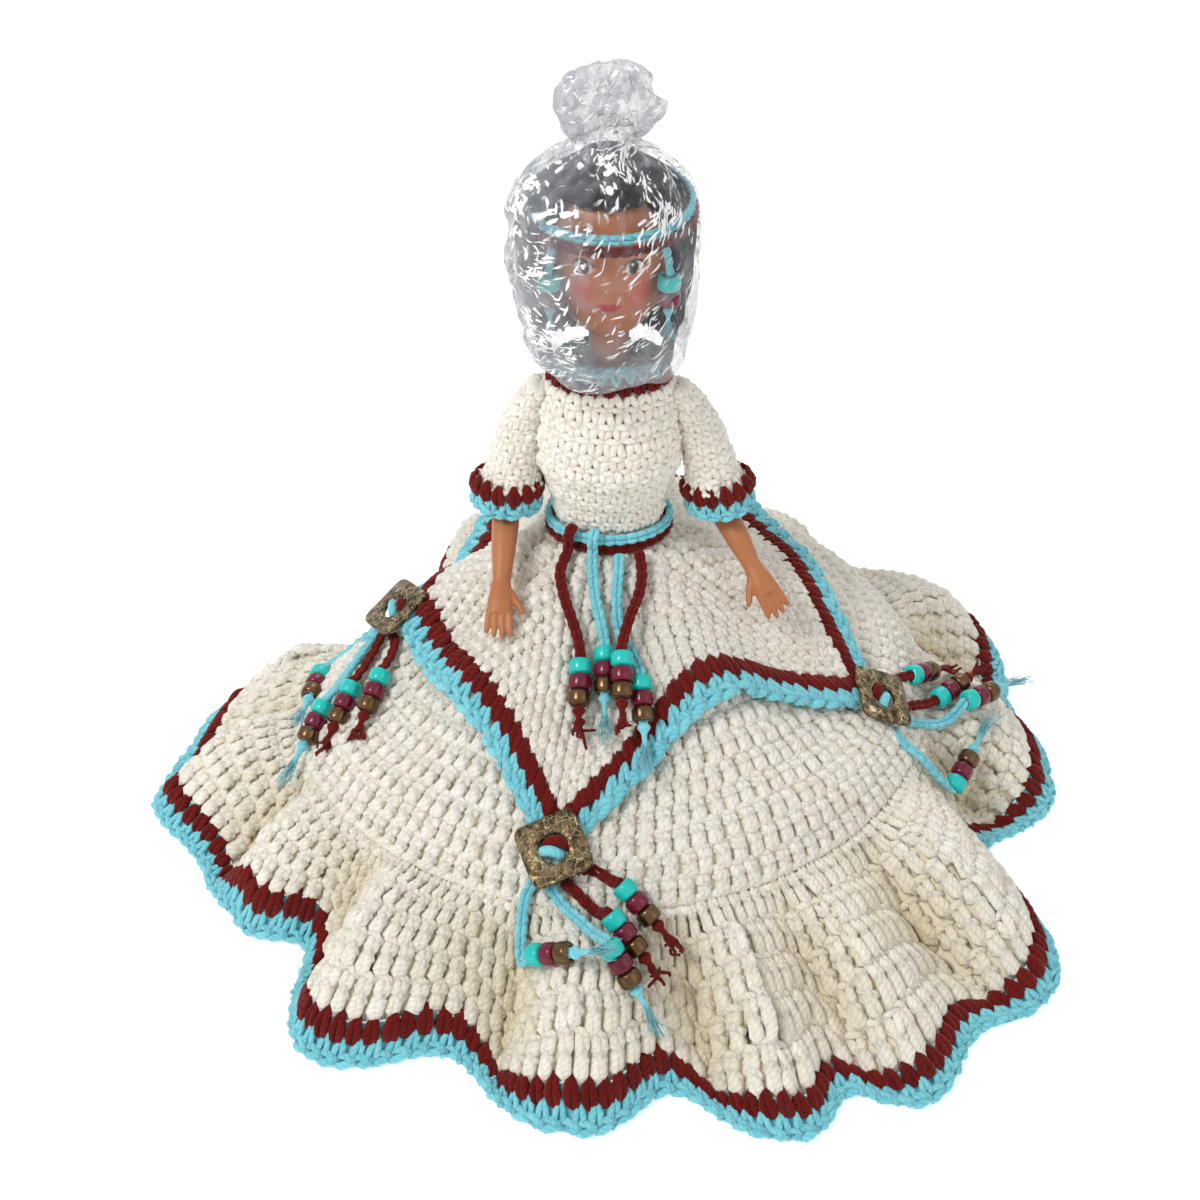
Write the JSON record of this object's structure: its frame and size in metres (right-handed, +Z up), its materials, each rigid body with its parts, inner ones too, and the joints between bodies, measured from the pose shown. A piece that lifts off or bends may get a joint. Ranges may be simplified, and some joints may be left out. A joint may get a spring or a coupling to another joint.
{
  "type": "crocheted-dress doll",
  "caption": "Seated vinyl doll with turning head and swinging arms and legs, in a cream crocheted dress with ruffled skirt, pointed overskirt, beaded cords and clear film over the head.",
  "frame": {"origin": "on the floor, at the middle of the space the spread skirt takes up, under the doll", "axes": "+Z up, -Y the way the doll faces, +X towards the doll's left hand"},
  "size_m": [0.3928, 0.4146, 0.321],
  "materials": {
    "cream_yarn": "crocheted four-ply yarn, matt",
    "red_yarn": "crocheted four-ply yarn, matt dark red",
    "blue_yarn": "crocheted four-ply yarn, matt light blue",
    "tan_vinyl": "smooth satin vinyl",
    "black_hair": "straight black fibre",
    "clear_film": "thin clear film, crinkled",
    "bronze_plate": "hammered antique bronze",
    "turquoise_bead": "glossy pony bead",
    "burgundy_bead": "glossy pony bead",
    "bronze_bead": "glossy pony bead"
  },
  "bodies": {
    "torso": {"torso": "tan_vinyl", "collar_blue": "blue_yarn", "hem_blue": "blue_yarn", "overskirt_trim_blue": "blue_yarn", "belt_blue": "blue_yarn", "collar_red": "red_yarn", "hem_red": "red_yarn", "overskirt_trim_red": "red_yarn", "belt_red": "red_yarn", "bodice": "cream_yarn", "skirt_tier": "cream_yarn", "ruffle": "cream_yarn", "overskirt": "cream_yarn", "front_plate": "bronze_plate", "front_strand_blue_1": "blue_yarn", "front_strand_blue_2": "blue_yarn", "front_strand_red_1": "red_yarn", "front_strand_red_2": "red_yarn", "left_plate": "bronze_plate", "left_strand_blue_1": "blue_yarn", "left_strand_blue_2": "blue_yarn", "left_strand_red_1": "red_yarn", "left_strand_red_2": "red_yarn", "back_plate": "bronze_plate", "back_strand_blue_1": "blue_yarn", "back_strand_blue_2": "blue_yarn", "back_strand_red_1": "red_yarn", "back_strand_red_2": "red_yarn", "right_plate": "bronze_plate", "right_strand_blue_1": "blue_yarn", "right_strand_blue_2": "blue_yarn", "right_strand_red_1": "red_yarn", "right_strand_red_2": "red_yarn", "belt_tail_red_1": "red_yarn", "belt_beads_red_1": "turquoise_bead", "belt_tail_blue_1": "blue_yarn", "belt_beads_blue_1": "turquoise_bead", "belt_tail_blue_2": "blue_yarn", "belt_beads_blue_2": "turquoise_bead", "belt_tail_red_2": "red_yarn", "belt_beads_red_2": "turquoise_bead"},
    "head": {"head": "tan_vinyl", "hair": "black_hair", "headband_blue": "blue_yarn", "headband_red": "red_yarn", "headband_tail_right": "blue_yarn", "headband_tail_left": "blue_yarn", "film_wrap": "clear_film"},
    "right_arm": {"right_arm": "tan_vinyl", "right_sleeve": "cream_yarn", "right_cuff_red": "red_yarn", "right_cuff_blue": "blue_yarn"},
    "left_arm": {"left_arm": "tan_vinyl", "left_sleeve": "cream_yarn", "left_cuff_red": "red_yarn", "left_cuff_blue": "blue_yarn"},
    "right_leg": {"right_leg": "tan_vinyl"},
    "left_leg": {"left_leg": "tan_vinyl"}
  },
  "joints": [
    {"name": "neck_turn", "type": "hinge", "parent": "torso", "child": "head", "pos_m": [0, 0.0012, 0.22], "axis": [0, 0, 1], "range_deg": [-60, 60]},
    {"name": "right_shoulder", "type": "hinge", "parent": "torso", "child": "right_arm", "pos_m": [-0.0376, 0, 0.187], "axis": [-1, 0, 0], "range_deg": [0, 100]},
    {"name": "left_shoulder", "type": "hinge", "parent": "torso", "child": "left_arm", "pos_m": [0.0376, 0, 0.187], "axis": [-1, 0, 0], "range_deg": [0, 100]},
    {"name": "right_hip", "type": "hinge", "parent": "torso", "child": "right_leg", "pos_m": [-0.0195, -0.002, 0.086], "axis": [0.9272, -0.3746, 0], "range_deg": [0, 62]},
    {"name": "left_hip", "type": "hinge", "parent": "torso", "child": "left_leg", "pos_m": [0.0195, -0.002, 0.086], "axis": [0.9272, 0.3746, 0], "range_deg": [0, 62]}
  ]
}
